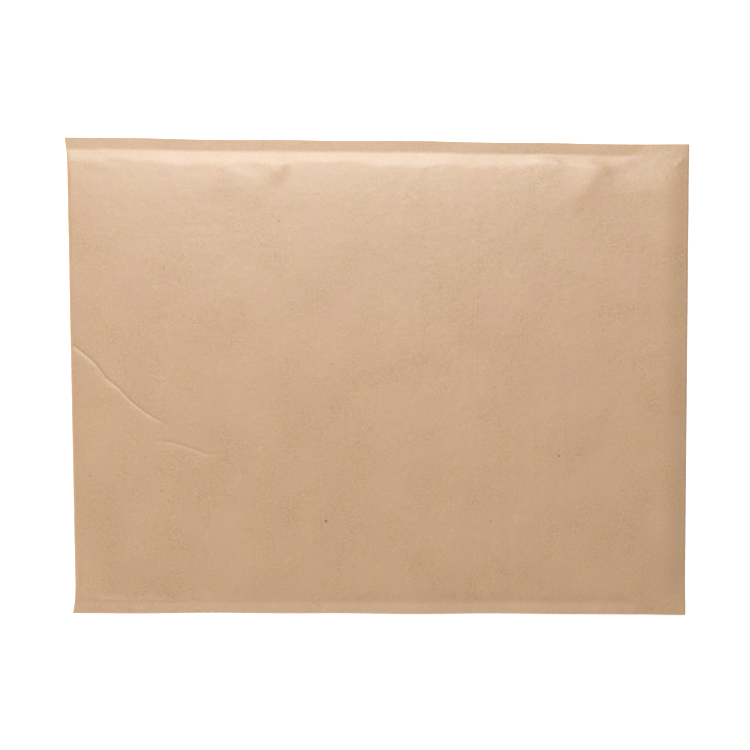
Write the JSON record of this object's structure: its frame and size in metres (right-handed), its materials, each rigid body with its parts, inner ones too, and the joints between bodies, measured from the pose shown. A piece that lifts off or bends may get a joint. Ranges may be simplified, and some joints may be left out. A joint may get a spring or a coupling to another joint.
{
  "type": "padded envelope",
  "caption": "Large padded mailing envelope: folded kraft sheet sealed along both sides, bubble-film lining, and a flap with an adhesive strip under a release liner, folded under.",
  "frame": {"origin": "on the surface the envelope lies on, under the middle of its outline", "axes": "+X from the bottom fold to the flap fold, +Y across the width from one side seal to the other, +Z out of the address side"},
  "size_m": [0.484, 0.37, 0.0074],
  "materials": {
    "kraft_paper": "satin brown kraft with fine fibre flecks",
    "bubble_film": "clear soft film, glossy",
    "adhesive": "tacky, slightly yellow",
    "release_paper": "smooth coated off-white"
  },
  "bodies": {
    "root": {"kraft_shell": "kraft_paper", "bubble_lining": "bubble_film", "flap_adhesive": "adhesive", "release_liner": "release_paper"}
  },
  "joints": []
}
